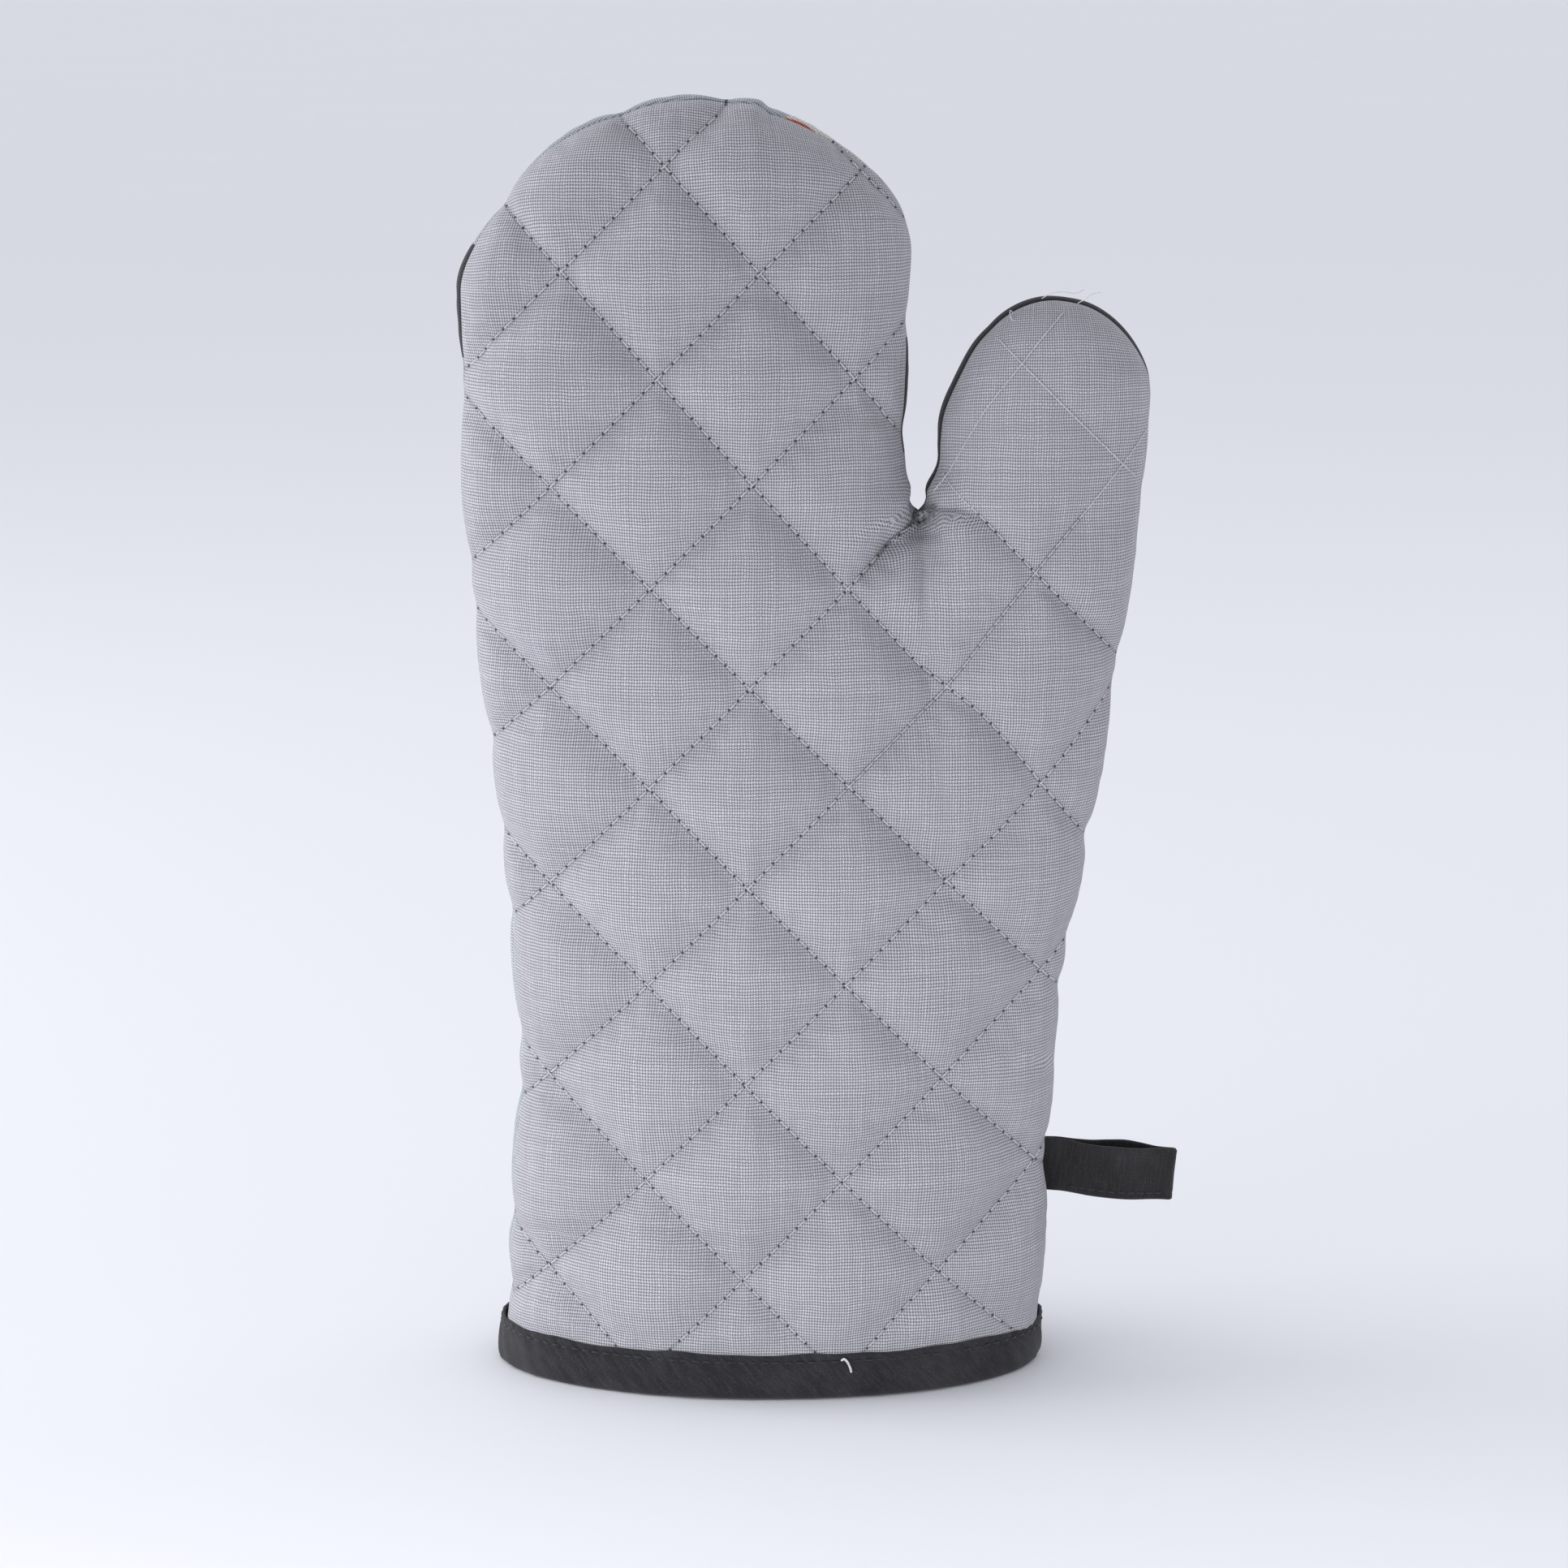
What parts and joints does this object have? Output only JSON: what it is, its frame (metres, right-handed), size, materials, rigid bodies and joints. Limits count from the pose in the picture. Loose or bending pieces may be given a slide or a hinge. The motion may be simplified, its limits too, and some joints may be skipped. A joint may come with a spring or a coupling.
{
  "type": "oven mitt",
  "caption": "Quilted oven mitt with one thumb, a bias-bound open cuff and a folded cloth hanging loop on the thumb side; it stands on its cuff.",
  "frame": {"origin": "centre of the cuff opening, in the plane of the rim that the mitt stands on", "axes": "+Z from the cuff up to the fingertips, +X across the hand towards the thumb, -Y out of the palm side and +Y out of the back of the hand"},
  "size_m": [0.1865, 0.0742, 0.33],
  "materials": {
    "palm_cloth": "coarse plain-weave cotton, undyed light grey, matt",
    "back_cloth": "plain-weave printed cotton, blue-grey ground, matt",
    "wadding": "soft white cotton wadding, matt",
    "lining": "thin plain cotton, matt",
    "binding": "black bias-cut cotton tape, matt",
    "loop_strip": "black cotton tape, folded and stitched, matt",
    "black_thread": "black polyester sewing thread",
    "seam_thread": "light grey polyester sewing thread",
    "quilting_thread": "light grey polyester sewing thread"
  },
  "bodies": {
    "mitt": {"palm_outer_cloth": "palm_cloth", "palm_wadding": "wadding", "palm_lining": "lining", "back_outer_cloth": "back_cloth", "back_wadding": "wadding", "back_lining": "lining", "palm_quilting_rising": "quilting_thread", "palm_quilting_falling": "quilting_thread", "palm_bobbin_rising": "quilting_thread", "palm_bobbin_falling": "quilting_thread", "back_quilting_rising": "quilting_thread", "back_quilting_falling": "quilting_thread", "back_bobbin_rising": "quilting_thread", "back_bobbin_falling": "quilting_thread", "side_seam_thread": "seam_thread", "cuff_binding": "binding", "binding_stitching": "black_thread"},
    "loop": {"hanging_loop": "loop_strip", "loop_edge_stitching": "black_thread"}
  },
  "joints": [
    {"name": "loop_swing", "type": "hinge", "parent": "mitt", "child": "loop", "pos_m": [0.07676, 0, 0.0455], "axis": [0.0872, 0, 0.9962], "range_deg": [-80, 80]}
  ]
}
